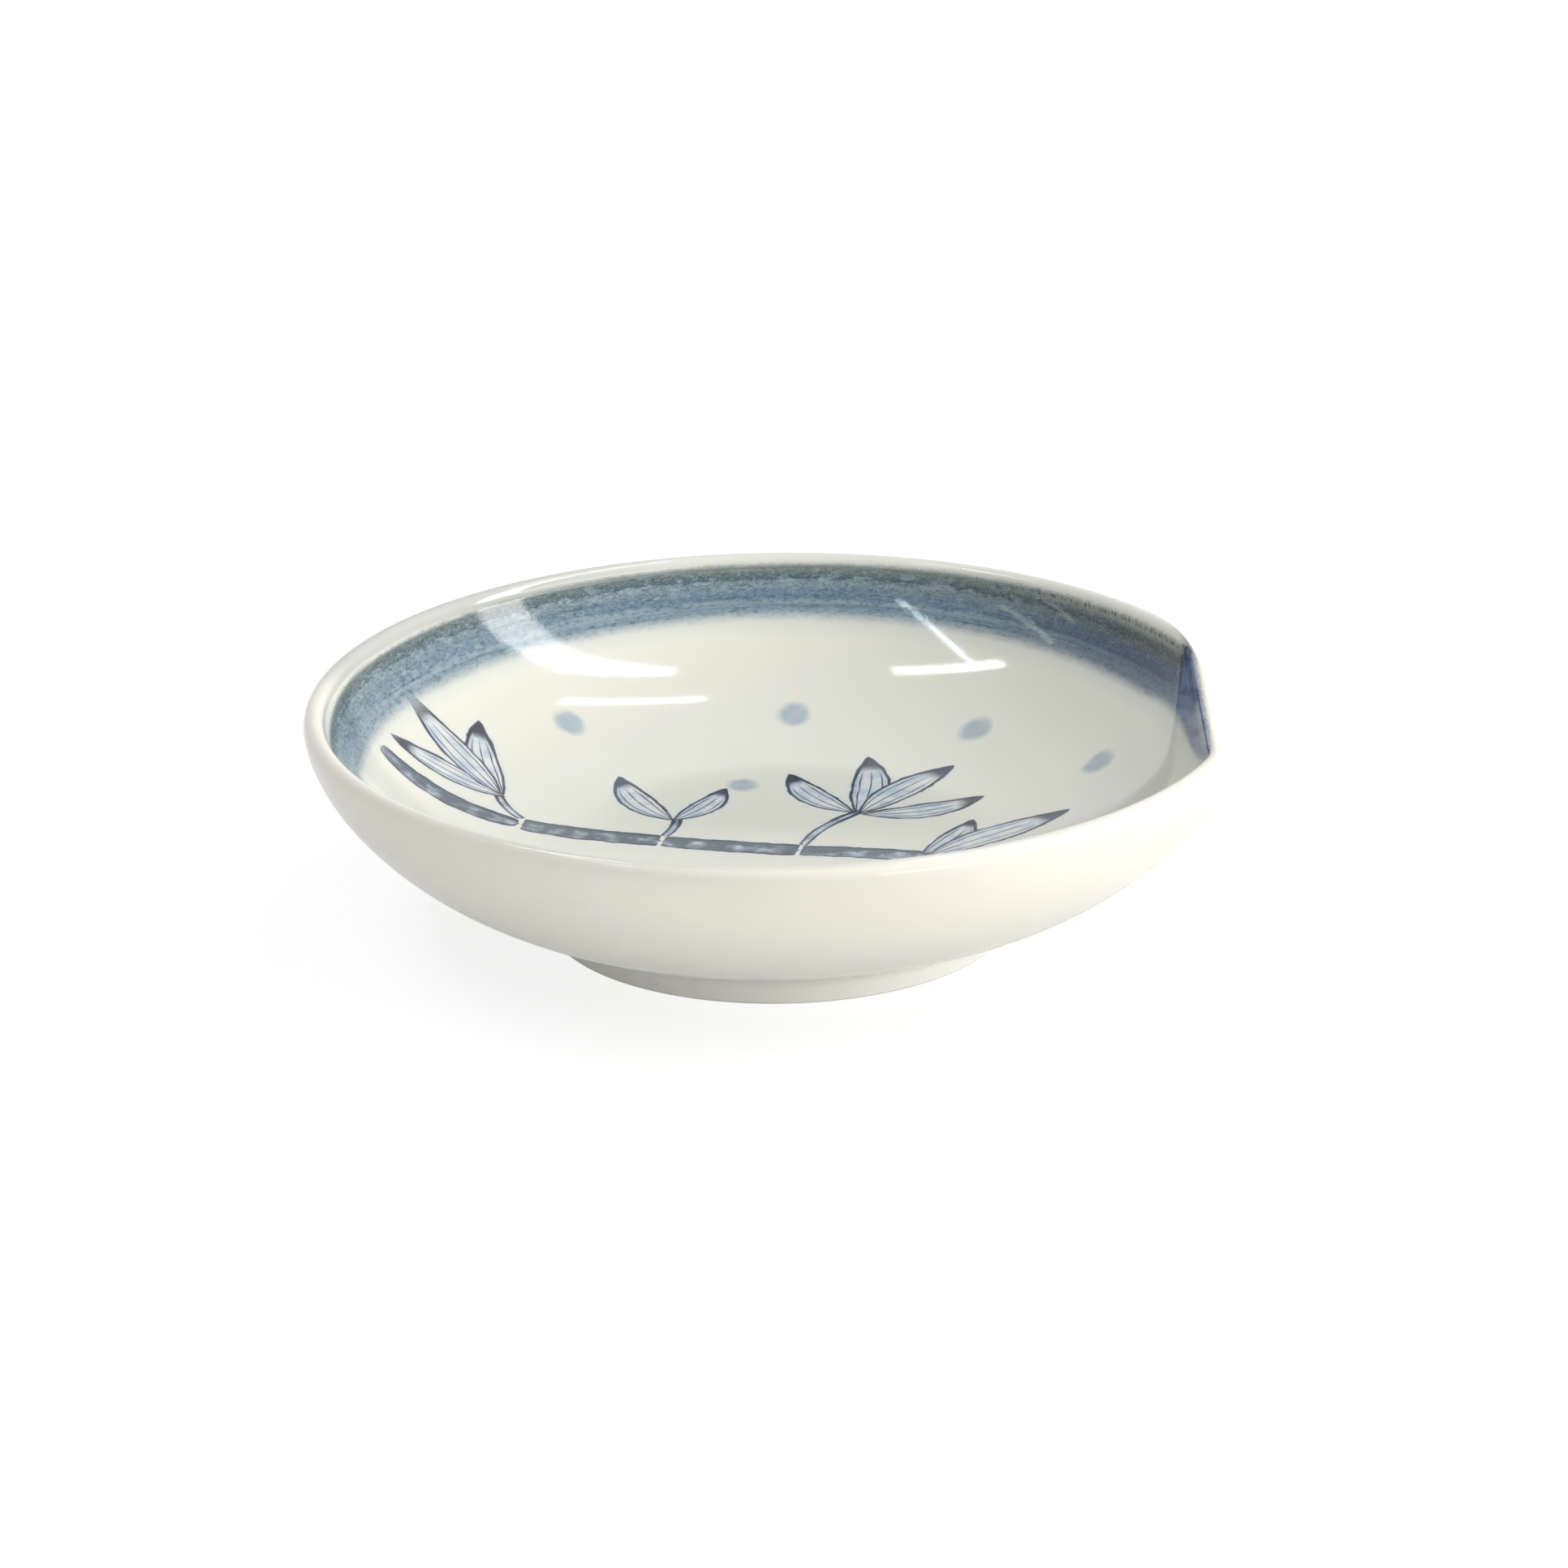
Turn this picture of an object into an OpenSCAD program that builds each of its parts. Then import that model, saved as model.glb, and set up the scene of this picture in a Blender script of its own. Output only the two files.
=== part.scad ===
// Small round porcelain dish for soy sauce, one side of its wall pressed in flat.
// Millimetres, +Z up. The origin is the centre of the foot's resting plane.
// The pressed side faces between +X and +Y, so the rim keeps its full radius
// along both axes and the origin stays under the middle of the outline.

/* [Bowl] */
// Diameter of the round part of the rim
rim_d = 105; // [90:1:130]
// Height from the table to the crown of the lip
dish_h = 26; // [22:0.5:34]
// Width of the rounded lip, seen from above
lip_w = 2.3; // [1.8:0.1:3.2]
// Height of the lip's rounding above the plain wall
lip_round_h = 1.5; // [1:0.1:2.6]
// Thickness of the floor at its centre
floor_t = 2.9; // [2.4:0.1:5]
// How far the underside domes up inside the foot
dome_rise = 0.4; // [0.2:0.1:1.2]
// How far outside the foot the belly's curve would level out, if it ran on under the bowl
belly_spread = 2; // [1:0.5:4]

/* [Pressed side] */
// Direction that the pressed side faces, from +X towards +Y
press_angle = 42; // [36:1:54]
// How far the pressed side stands in from the round rim
press_depth = 3.9; // [2:0.1:6]
// Thickness of the wall along the pressed side
press_wall_t = 1.8; // [1.6:0.1:3]
// Share of its depth by which the pressed wall leans inward on the way down
press_lean_share = 0.12; // [0:0.01:0.25]
// Rounding of the outer corner where the press begins gently
soft_corner = 8; // [2:0.5:10]
// Rounding of the outer corner where the press ends in a point
sharp_corner = 0.8; // [0.4:0.1:2]
// Rounding of the crease inside the wall, at the lip
crease_corner = 0.5; // [0.3:0.1:2]
// How much rounder each corner gets from the lip down to the foot
corner_growth = 8; // [4:0.5:10]

/* [Foot] */
// Outer diameter of the ring that the dish rests on
foot_d = 52; // [46:1:58]
// Height of the foot, from the table to the underside of the bowl
foot_h = 4.7; // [3.5:0.1:6]
// Thickness of the foot's wall at the table
foot_w = 3; // [2.4:0.1:4]
// Rounding of the two edges of the resting ring
foot_edge = 0.5; // [0.3:0.1:0.9]
// How far the foot's outer face leans out on the way up
foot_lean = 1.4; // [0.8:0.1:2]
// How far the top of the foot spreads out under the bowl, past that face
foot_skirt = 3.4; // [2.4:0.1:3.8]
// Rounding where the foot's outer face turns into the underside
foot_join = 1.2; // [0.6:0.1:2]
// How far the foot's inner face draws in on the way up
foot_fillet = 1; // [0.5:0.1:1.5]

/* [Glaze] */
// Thickness of the fired glaze
glaze_t = 0.3; // [0.2:0.05:0.4]

/* [Hidden] */
$fn = 96;

rim_r = rim_d / 2;
lip_z = dish_h - lip_round_h;
inner_rim_r = rim_r - lip_w;
foot_r = foot_d / 2;
foot_inner_r = foot_r - foot_w;
seat_r = foot_r + foot_lean + foot_skirt;
belly_base_r = foot_r + belly_spread;
recess_r = foot_inner_r - foot_fillet;
dome_z = foot_h + dome_rise;
floor_z = dome_z + floor_t;

// Powers of sine and cosine that bend a quarter ellipse into the dish's two curves
belly_r_power = 1.28;
belly_z_power = 1.24;
inside_r_power = 0.45;
inside_z_power = 1.65;
fillet_power = 1.5;

// Share of the belly's quarter curve that a straight cone down to the foot stands in for
belly_start_share = 0.25;

belly_rings = 7;
lip_rings = 6;
inside_rings = 9;
dome_rings = 2;
foot_rings = 14;
edge_rings = 4;

// The pressed span has close stations, and two of them fall on its corners
corner_a = acos((rim_r - press_depth) / rim_r);
press_half_a = 1.5 * corner_a;
press_stations = 30;
round_stations = 42;
stations = concat(
    [for (i = [0 : press_stations - 1]) mix(-press_half_a, press_half_a, i / press_stations)],
    [for (i = [0 : round_stations - 1]) mix(press_half_a, 360 - press_half_a, i / round_stations)]
);

function mix(a, b, share) = a + (b - a) * share;

function reversed(list) = [for (i = [len(list) - 1 : -1 : 0]) list[i]];

// Distance of the flat pressed wall from the axis, at its outer face (0) or its inner face (1)
function press_dist(z, through_share) =
    rim_r - press_depth - press_wall_t * through_share - press_lean_share * (dish_h - z);

function corner_at(z, lip_corner) =
    lip_corner + corner_growth * pow((dish_h - z) / (dish_h - foot_h), 2);

// A ring of the dish: radius, height, distance of the pressed wall, soft and sharp rounding
function wall_ring(r, z, through_share) = [
    r,
    z,
    press_dist(z, through_share),
    corner_at(z, mix(soft_corner, crease_corner, through_share)),
    corner_at(z, mix(sharp_corner, crease_corner, through_share))
];

// A ring that the press doesn't reach
function plain_ring(r, z) = [r, z, rim_d, sharp_corner, sharp_corner];

function belly_ring(t) = wall_ring(
    mix(belly_base_r, rim_r, pow(sin(t), belly_r_power)),
    mix(foot_h, lip_z, 1 - pow(cos(t), belly_z_power)),
    0
);

function lip_ring(t) = wall_ring(
    rim_r - lip_w / 2 * (1 - cos(t)),
    lip_z + lip_round_h * sin(t),
    (1 - cos(t)) / 2
);

function inside_ring(t) = wall_ring(
    inner_rim_r * pow(sin(t), inside_r_power),
    mix(floor_z, lip_z, 1 - pow(cos(t), inside_z_power)),
    1
);

// Glazed face, from the foot's seat up the outside, over the lip and down to the floor's centre
glazed_rings = concat(
    [plain_ring(seat_r, foot_h)],
    [for (i = [0 : belly_rings]) belly_ring(90 * mix(belly_start_share, 1, i / belly_rings))],
    [for (i = [1 : lip_rings]) lip_ring(180 * i / lip_rings)],
    [for (i = [inside_rings - 1 : -1 : 0]) inside_ring(90 * i / inside_rings)]
);
last_ring = len(glazed_rings) - 1;

// Unit normal of the face in the plane of radius and height, at ring i
function ring_normal(i) =
    let (run = glazed_rings[i + 1] - glazed_rings[i - 1], size = norm([run[0], run[1]]))
    [run[1] / size, -run[0] / size];

// The same ring one glaze thickness further in, on the clay
function clay_ring(i) =
    let (ring = glazed_rings[i], n = i == 0 ? [1, 0] : i == last_ring ? [0, 1] : ring_normal(i))
    ring - glaze_t * [n[0], n[1], n[0], 0, 0];

clay_rings = [for (i = [0 : last_ring]) clay_ring(i)];

function dome_height(share) = mix(dome_z, foot_h, share * share);

dome_rings_list = [
    for (i = [0 : dome_rings]) plain_ring(recess_r * i / dome_rings, dome_height(i / dome_rings))
];

// Smaller of two distances, with their corner rounded over the width k
function round_min(a, b, k) =
    let (near_share = max(k - abs(a - b), 0) / k)
    min(a, b) - near_share * near_share * k / 4;

// Larger of two distances, rounded the same way
function round_max(a, b, k) = -round_min(-a, -b, k);

// The rounding passes from the sharp corner's to the soft corner's along the pressed side
function corner_width(ring, a) =
    let (side_share = (sin(a) / sin(corner_a) + 1) / 2)
    mix(ring[4], ring[3], min(max(side_share, 0), 1));

function pressed_radius(ring, a) =
    cos(a) > 0 ? round_min(ring[0], ring[2] / cos(a), corner_width(ring, a)) : ring[0];

function ring_point(ring, a) =
    let (r = pressed_radius(ring, a))
    [r * cos(a + press_angle), r * sin(a + press_angle), ring[1]];

// Closed skin over rings whose first and last ones are points on the axis
module lofted(rings) {
    m = len(stations);
    last = len(rings) - 1;
    top = 1 + (last - 1) * m;
    points = concat(
        [[0, 0, rings[0][1]]],
        [for (i = [1 : last - 1]) for (a = stations) ring_point(rings[i], a)],
        [[0, 0, rings[last][1]]]
    );
    function at(i, j) = 1 + (i - 1) * m + j % m;
    faces = concat(
        [for (j = [0 : m - 1]) [0, at(1, j), at(1, j + 1)]],
        [for (i = [1 : last - 2]) for (j = [0 : m - 1]) [at(i, j), at(i + 1, j), at(i + 1, j + 1)]],
        [for (i = [1 : last - 2]) for (j = [0 : m - 1]) [at(i, j), at(i + 1, j + 1), at(i, j + 1)]],
        [for (j = [0 : m - 1]) [at(last - 1, j), top, at(last - 1, j + 1)]]
    );
    polyhedron(points = points, faces = faces, convexity = 4);
}

// Porcelain body: a shallow bowl on a flat seat, its wall pressed in on one side
module bowl() {
    color("linen")
        lofted(concat(dome_rings_list, clay_rings));
}

// Foot: a ring whose outer face turns out into the underside of the bowl, on whose flat it is seated
module foot_ring() {
    rise = foot_h - foot_edge;
    cone = glazed_rings[1] - glazed_rings[0];
    cone_run = cone[0] / cone[1];
    outer_edge = [
        for (i = [0 : edge_rings - 1]) let (t = 90 * i / edge_rings)
            [foot_r - foot_edge * (1 - sin(t)), foot_edge * (1 - cos(t))]
    ];
    outer_face = [
        for (i = [0 : foot_rings]) let (share = i / foot_rings)
            [
                round_max(foot_r + foot_lean * share, seat_r - rise * (1 - share) * cone_run, foot_join),
                foot_edge + rise * share
            ]
    ];
    inner_face = [
        for (i = [foot_rings : -1 : 0]) let (share = i / foot_rings)
            [foot_inner_r - foot_fillet * pow(share, fillet_power), foot_edge + rise * share]
    ];
    inner_edge = [
        for (i = [edge_rings - 1 : -1 : 0]) let (t = 90 * i / edge_rings)
            [foot_inner_r + foot_edge * (1 - sin(t)), foot_edge * (1 - cos(t))]
    ];
    color("antiquewhite")
        rotate_extrude()
            polygon(concat(outer_edge, outer_face, inner_face, inner_edge));
}

// Glaze: one coat from the foot's seat over the lip to the floor, and one inside the foot
module glaze_coat() {
    color("whitesmoke") {
        lofted(concat(reversed(clay_rings), glazed_rings));
        rotate_extrude()
            polygon(concat(
                [for (ring = dome_rings_list) [ring[0], ring[1]]],
                [for (ring = reversed(dome_rings_list)) [ring[0], ring[1] - glaze_t]]
            ));
    }
}

bowl();
foot_ring();
glaze_coat();
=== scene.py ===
# A small round porcelain dish for soy sauce, glazed and painted in blue, on a pale table.
# Everything is in metres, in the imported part's own frame, with +Z up.
import math

import bpy
from mathutils import Matrix, Vector


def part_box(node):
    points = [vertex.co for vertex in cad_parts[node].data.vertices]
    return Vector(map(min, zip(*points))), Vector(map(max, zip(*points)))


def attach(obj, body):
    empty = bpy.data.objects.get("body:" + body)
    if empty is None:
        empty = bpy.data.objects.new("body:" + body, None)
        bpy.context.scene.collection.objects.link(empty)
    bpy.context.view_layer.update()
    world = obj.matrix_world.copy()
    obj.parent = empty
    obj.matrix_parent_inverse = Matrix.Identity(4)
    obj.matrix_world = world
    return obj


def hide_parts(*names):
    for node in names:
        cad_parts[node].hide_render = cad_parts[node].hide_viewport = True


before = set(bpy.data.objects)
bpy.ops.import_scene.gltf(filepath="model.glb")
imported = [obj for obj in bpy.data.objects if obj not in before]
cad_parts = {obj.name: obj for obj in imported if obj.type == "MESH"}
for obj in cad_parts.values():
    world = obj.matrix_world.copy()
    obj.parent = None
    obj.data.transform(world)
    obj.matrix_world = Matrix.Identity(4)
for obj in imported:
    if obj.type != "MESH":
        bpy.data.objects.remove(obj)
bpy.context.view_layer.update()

MM = 0.001
IN_MM = 1000.0

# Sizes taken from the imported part
GLAZE_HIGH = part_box("glaze_coat")[1]
FOOT_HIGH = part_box("foot_ring")[1]
DISH_H = GLAZE_HIGH.z
FOOT_H = FOOT_HIGH.z
SEAT_R = FOOT_HIGH.x

# Bowl
RIM_R = 52.5 * MM
LIP_W = 2.3 * MM
LIP_ROUND_H = 1.5 * MM
LIP_Z = DISH_H - LIP_ROUND_H
INNER_RIM_R = RIM_R - LIP_W
FLOOR_T = 2.9 * MM
DOME_RISE = 0.4 * MM
FLOOR_Z = FOOT_H + DOME_RISE + FLOOR_T
GLAZE_T = 0.3 * MM
RIM_GLAZE_SHARE = 0.25  # the hidden clay lies closer under the rim, where the crease leaves little wall
RIM_GLAZE_REACH = 2.5 * MM
BELLY_SPREAD = 2 * MM
BELLY_START = 0.25  # share of the belly's quarter curve that a straight cone stands in for

# Powers of sine and cosine that bend a quarter ellipse into the dish's two curves
BELLY_R_POWER = 1.28
BELLY_Z_POWER = 1.24
INSIDE_R_POWER = 0.45
INSIDE_Z_POWER = 1.65
SHOULDER_POWER = 0.72  # of the sine over the lip's inner half, which makes its shoulder squarer

# Pressed side
PRESS_ANGLE = math.radians(42)
PRESS_DEPTH = 3.9 * MM
PRESS_WALL_T = 1.8 * MM
PRESS_LEAN = 0.12
SOFT_CORNER = 8 * MM
SHARP_CORNER = 0.8 * MM
CREASE_CORNER = 0.5 * MM
CORNER_GROWTH = 8 * MM
CORNER_ANGLE = math.acos((RIM_R - PRESS_DEPTH) / RIM_R)

# Foot
FOOT_R = 26 * MM
FOOT_W = 3 * MM
FOOT_EDGE = 0.5 * MM
FOOT_LEAN = 1.4 * MM
FOOT_JOIN = 2.2 * MM
FOOT_FILLET = 1 * MM
FILLET_POWER = 1.5
RECESS_R = FOOT_R - FOOT_W - FOOT_FILLET

# Least values that a division may meet
LEAST_RADIUS = 0.01 * MM
LEAST_COSINE = 0.01

# Fineness of the meshes
CONE_RINGS = 8
BELLY_RINGS = 36
LIP_RINGS = 28
INSIDE_RINGS = 56
CLAY_STEP = 2
CLAY_STATION_STEP = 2
PRESS_STATIONS = 250
ROUND_STATIONS = 330
PRESS_SPAN = 1.5 * CORNER_ANGLE
FOOT_RINGS = 36
EDGE_RINGS = 8
FOOT_STATIONS = 360
DOME_RINGS = 12

QUARTER = math.pi / 2
SHARP_EDGE = math.radians(50)


def srgb(red, green, blue):
    """A colour as seen, in steps of 255, as the linear colour that a shader takes."""
    def linear(step):
        share = step / 255
        return share / 12.92 if share <= 0.04045 else ((share + 0.055) / 1.055) ** 2.4
    return (linear(red), linear(green), linear(blue), 1.0)


def mix(a, b, share):
    """From a, where share is 0, to b, where it is 1."""
    return a + (b - a) * share


def within(low, high, value):
    """The value, held between two limits."""
    return min(max(value, low), high)


def round_max(a, b, width):
    """Larger of two lengths, with their corner rounded over a width."""
    near = max(width - abs(a - b), 0) / width
    return max(a, b) + near * near * width / 4


# The thrown form: profiles of (radius, height, share of the way through the wall)

def belly_point(share):
    """Outside of the bowl, from the end of the cone under it up to the lip."""
    t = QUARTER * mix(BELLY_START, 1, share)
    r = mix(FOOT_R + BELLY_SPREAD, RIM_R, math.sin(t) ** BELLY_R_POWER)
    z = mix(FOOT_H, LIP_Z, 1 - abs(math.cos(t)) ** BELLY_Z_POWER)
    return r, z, 0.0


def cone_point(share):
    """The straight underside, from the foot's seat to the belly."""
    r, z, _ = belly_point(0)
    return mix(SEAT_R, r, share), mix(FOOT_H, z, share), 0.0


def lip_point(share):
    """Over the lip, from the outside to the inside. Its inner shoulder is a little squarer."""
    t = math.pi * share
    through = (1 - math.cos(t)) / 2
    power = SHOULDER_POWER if share > 0.5 else 1.0
    rise = abs(math.sin(t)) ** power if share < 1 else 0.0
    return RIM_R - LIP_W * through, LIP_Z + LIP_ROUND_H * rise, through


def inside_point(share):
    """Inside of the bowl, from the floor's centre up to the lip."""
    t = QUARTER * share
    r = INNER_RIM_R * math.sin(t) ** INSIDE_R_POWER
    z = mix(FLOOR_Z, LIP_Z, 1 - abs(math.cos(t)) ** INSIDE_Z_POWER)
    return r, z, 1.0


def glazed_profile():
    """The glazed face, from the foot's seat over the lip to the floor's centre."""
    outside = [cone_point(i / CONE_RINGS) for i in range(CONE_RINGS)]
    outside += [belly_point(i / BELLY_RINGS) for i in range(BELLY_RINGS + 1)]
    lip = [lip_point(i / LIP_RINGS) for i in range(1, LIP_RINGS + 1)]
    inside = [inside_point(i / INSIDE_RINGS) for i in range(INSIDE_RINGS - 1, -1, -1)]
    return outside + lip + inside


def coated_rings():
    """Rings of the glazed face, and of the clay one glaze thickness further in, in reverse."""
    profile = glazed_profile()
    last = len(profile) - 1
    lengths = [0.0]
    for a, b in zip(profile, profile[1:]):
        lengths.append(lengths[-1] + math.dist(a[:2], b[:2]))
    crown = lengths[CONE_RINGS + BELLY_RINGS + LIP_RINGS // 2]
    face = [
        {"r": r, "z": z, "through": through, "inset": 0.0, "along": length - crown}
        for (r, z, through), length in zip(profile, lengths)
    ]
    clay = []
    for i in [*range(last, 0, -CLAY_STEP), 0]:
        r, z, through = profile[i]
        if i == last:
            normal = (0.0, 1.0)
        elif i == 0:
            normal = (1.0, 0.0)
        else:
            run = (profile[i + 1][0] - profile[i - 1][0], profile[i + 1][1] - profile[i - 1][1])
            size = math.hypot(*run)
            normal = (run[1] / size, -run[0] / size)
        near_rim = within(0, 1, 1 + (z - LIP_Z) / RIM_GLAZE_REACH)
        thickness = GLAZE_T * mix(1, RIM_GLAZE_SHARE, near_rim)
        inset = thickness * normal[0]
        clay.append({
            "r": r - inset,
            "z": z - thickness * normal[1],
            "through": through,
            "inset": inset,
            "along": lengths[i] - crown,
        })
    return face, clay


def glaze_shell():
    """Rings of the glaze coat: its glazed face, then back along the clay."""
    face, clay = coated_rings()
    return face + clay


def dome_rings(drop):
    """Rings of the low dome inside the foot, from its middle out."""
    shares = [i / DOME_RINGS for i in range(DOME_RINGS + 1)]
    return [{"r": RECESS_R * s, "z": mix(FOOT_H + DOME_RISE, FOOT_H, s * s) - drop} for s in shares]


def recess_shell():
    """Rings of the glaze patch on the low dome inside the foot."""
    return dome_rings(0) + dome_rings(GLAZE_T)[::-1]


def bowl_shell():
    """Rings of the clay bowl: the dome inside the foot, then the clay under the glaze."""
    dome = [{**ring, "through": 0.0, "inset": 0.0} for ring in dome_rings(0)]
    clay = [{key: ring[key] for key in dome[0]} for ring in coated_rings()[1]]
    return dome + clay[::-1]


def foot_shell():
    """Rings of the foot: its outer edge and face, out to the seat, then its inner face and edge."""
    rise = FOOT_H - FOOT_EDGE
    inner_r = FOOT_R - FOOT_W
    cone_r, cone_z, _ = belly_point(0)
    cone_run = (cone_r - SEAT_R) / (cone_z - FOOT_H)

    def outer_r(share):
        upright = FOOT_R + FOOT_LEAN * share
        underside = SEAT_R - rise * (1 - share) * cone_run
        return round_max(upright, underside, FOOT_JOIN)

    outer = []
    inner = []
    for i in range(EDGE_RINGS):
        t = QUARTER * i / EDGE_RINGS
        rounding = FOOT_EDGE * (1 - math.sin(t))
        z = FOOT_EDGE * (1 - math.cos(t))
        outer.append({"r": FOOT_R - rounding, "z": z})
        inner.append({"r": inner_r + rounding, "z": z})
    for i in range(FOOT_RINGS + 1):
        share = i / FOOT_RINGS
        z = FOOT_EDGE + rise * share
        outer.append({"r": outer_r(share), "z": z})
        inner.append({"r": inner_r - FOOT_FILLET * share ** FILLET_POWER, "z": z})
    return outer + inner[::-1]


def dish_stations(step=1):
    """Angles of the dish's meridians, close together on the pressed side. Step thins them out."""
    pressed = [mix(-PRESS_SPAN, PRESS_SPAN, i / PRESS_STATIONS) for i in range(0, PRESS_STATIONS, step)]
    around = range(0, ROUND_STATIONS, step)
    rest = [mix(PRESS_SPAN, math.tau - PRESS_SPAN, i / ROUND_STATIONS) for i in around]
    return [PRESS_ANGLE + a for a in pressed + rest]


def thrown(name, rings, stations):
    """A closed skin of revolution: each ring a circle of points, or one point where it has no radius."""
    points = []
    loops = []
    values = {key: [] for key in rings[0] if key not in ("r", "z")}
    for ring in rings:
        angles = stations if ring["r"] > 0 else [0.0]
        first = len(points)
        points += [(ring["r"] * math.cos(a), ring["r"] * math.sin(a), ring["z"]) for a in angles]
        loops.append([first + j for j in range(len(angles))])
        for key, found in values.items():
            found += [ring[key]] * len(angles)
    faces = []
    count = len(stations)
    for low, high in zip(loops, loops[1:] + loops[:1]):
        if len(low) == 1 and len(high) == 1:
            continue
        for j in range(count):
            k = (j + 1) % count
            if len(low) == 1:
                faces.append((low[0], high[k], high[j]))
            elif len(high) == 1:
                faces.append((low[j], low[k], high[0]))
            else:
                faces.append((low[j], low[k], high[k], high[j]))
    mesh = bpy.data.meshes.new(name)
    mesh.from_pydata(points, [], faces)
    for key, found in values.items():
        mesh.attributes.new(key, "FLOAT", "POINT").data.foreach_set("value", found)
    mesh.polygons.foreach_set("use_smooth", [True] * len(faces))
    mesh.set_sharp_from_angle(angle=SHARP_EDGE)
    mesh.validate()
    piece = bpy.data.objects.new(name, mesh)
    bpy.context.scene.collection.objects.link(piece)
    return piece


# Node trees, written as formulas

class Field:
    """A number that varies over a surface: a socket of a node tree that takes plain arithmetic."""

    def __init__(self, tree, socket):
        self.tree = tree
        self.socket = socket

    def math(self, operation, *others):
        node = self.tree.nodes.new("ShaderNodeMath")
        node.operation = operation
        for slot, operand in zip(node.inputs, (self, *others)):
            feed(self.tree, slot, operand)
        return Field(self.tree, node.outputs[0])

    def __add__(self, other):
        return self.math("ADD", other)

    def __sub__(self, other):
        return self.math("SUBTRACT", other)

    def __rsub__(self, other):
        return (self * -1.0) + other

    def __mul__(self, other):
        return self.math("MULTIPLY", other)

    def __truediv__(self, other):
        return self.math("DIVIDE", other)

    __radd__ = __add__
    __rmul__ = __mul__

    def most(self, other):
        return self.math("MAXIMUM", other)

    def least(self, other):
        return self.math("MINIMUM", other)

    def nearest(self, step):
        """Distance to the nearest multiple of a step."""
        return self.math("PINGPONG", step * 0.5)

    def size(self):
        return self.math("ABSOLUTE")

    def power(self, exponent):
        return self.math("POWER", exponent)

    def rise(self, start, end):
        """0 before start, 1 past end, smooth between them. It falls where end is before start."""
        node = self.tree.nodes.new("ShaderNodeMapRange")
        node.interpolation_type = "SMOOTHSTEP"
        feed(self.tree, node.inputs["Value"], self)
        feed(self.tree, node.inputs["From Min"], start)
        feed(self.tree, node.inputs["From Max"], end)
        return Field(self.tree, node.outputs["Result"])


def feed(tree, slot, operand):
    """Gives an input a field, a socket or a plain value."""
    source = operand.socket if isinstance(operand, Field) else operand
    if isinstance(source, bpy.types.NodeSocket):
        tree.links.new(source, slot)
    else:
        slot.default_value = source


def node_of(tree, kind, settings=None, **inputs):
    """A new node with its settings and inputs. An input's name has underscores for its spaces."""
    node = tree.nodes.new(kind)
    for key, value in (settings or {}).items():
        setattr(node, key, value)
    for key, value in inputs.items():
        feed(tree, node.inputs[key.replace("_", " ")], value)
    return node


def vector(tree, x, y, z):
    """A vector from its three numbers."""
    return node_of(tree, "ShaderNodeCombineXYZ", X=x, Y=y, Z=z).outputs[0]


def parts(tree, source):
    """The three numbers of a vector."""
    node = node_of(tree, "ShaderNodeSeparateXYZ", Vector=source)
    return [Field(tree, socket) for socket in node.outputs]


def scaled(tree, place, scale):
    """A place with its axes stretched, each by its own number or all by one."""
    node = node_of(tree, "ShaderNodeVectorMath", {"operation": "MULTIPLY"})
    feed(tree, node.inputs[0], place)
    node.inputs[1].default_value = scale if isinstance(scale, tuple) else (scale,) * 3
    return node.outputs[0]


def place_in_mm(tree):
    """Where a point lies on the part, in millimetres."""
    return scaled(tree, tree.nodes.new("ShaderNodeTexCoord").outputs["Object"], IN_MM)


def noise(tree, place, waves, detail=2.0, roughness=0.5):
    """Noise from 0 to 1 on a place in millimetres, with so many waves to the millimetre."""
    stretched = scaled(tree, place, waves)
    node = node_of(tree, "ShaderNodeTexNoise", Vector=stretched, Scale=1.0, Detail=detail)
    node.inputs["Roughness"].default_value = roughness
    return Field(tree, node.outputs["Fac"])


FIRST_COLOUR_INPUT = 6  # of a mix node, whose sockets for numbers and vectors come before
SECOND_COLOUR_INPUT = 7
COLOUR_OUTPUT = 2


def blend_colour(tree, share, first, second):
    """The first colour where share is 0, the second where it is 1."""
    node = tree.nodes.new("ShaderNodeMix")
    node.data_type = "RGBA"
    feed(tree, node.inputs["Factor"], share)
    feed(tree, node.inputs[FIRST_COLOUR_INPUT], first)
    feed(tree, node.inputs[SECOND_COLOUR_INPUT], second)
    return node.outputs[COLOUR_OUTPUT]


def ramp(tree, share, stops):
    """Colours at places along a share from 0 to 1."""
    node = tree.nodes.new("ShaderNodeValToRGB")
    node.color_ramp.interpolation = "EASE"
    elements = node.color_ramp.elements
    while len(elements) < len(stops):
        elements.new(0.5)
    for element, (place, colour) in zip(elements, stops):
        element.position = place
        element.color = colour
    feed(tree, node.inputs[0], share)
    return node.outputs[0]


FLOAT = "NodeSocketFloat"
VECTOR = "NodeSocketVector"
COLOUR = "NodeSocketColor"


def new_group(name, kind, inputs, outputs):
    """An empty node group with named sockets. Returns it, its inputs by name and its output node."""
    tree = bpy.data.node_groups.new(name, kind)
    for label, socket_type in inputs:
        tree.interface.new_socket(name=label, in_out="INPUT", socket_type=socket_type)
    for label, socket_type in outputs:
        tree.interface.new_socket(name=label, in_out="OUTPUT", socket_type=socket_type)
    given = tree.nodes.new("NodeGroupInput")
    result = tree.nodes.new("NodeGroupOutput")
    return tree, {label: Field(tree, given.outputs[label]) for label, _ in inputs}, result


def use_group(tree, group, **inputs):
    """A shader group placed in a tree. Returns its outputs by name."""
    node = node_of(tree, "ShaderNodeGroup", {"node_tree": group}, **inputs)
    return {socket.name: Field(tree, socket) for socket in node.outputs}


# The press, a geometry tree

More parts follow.
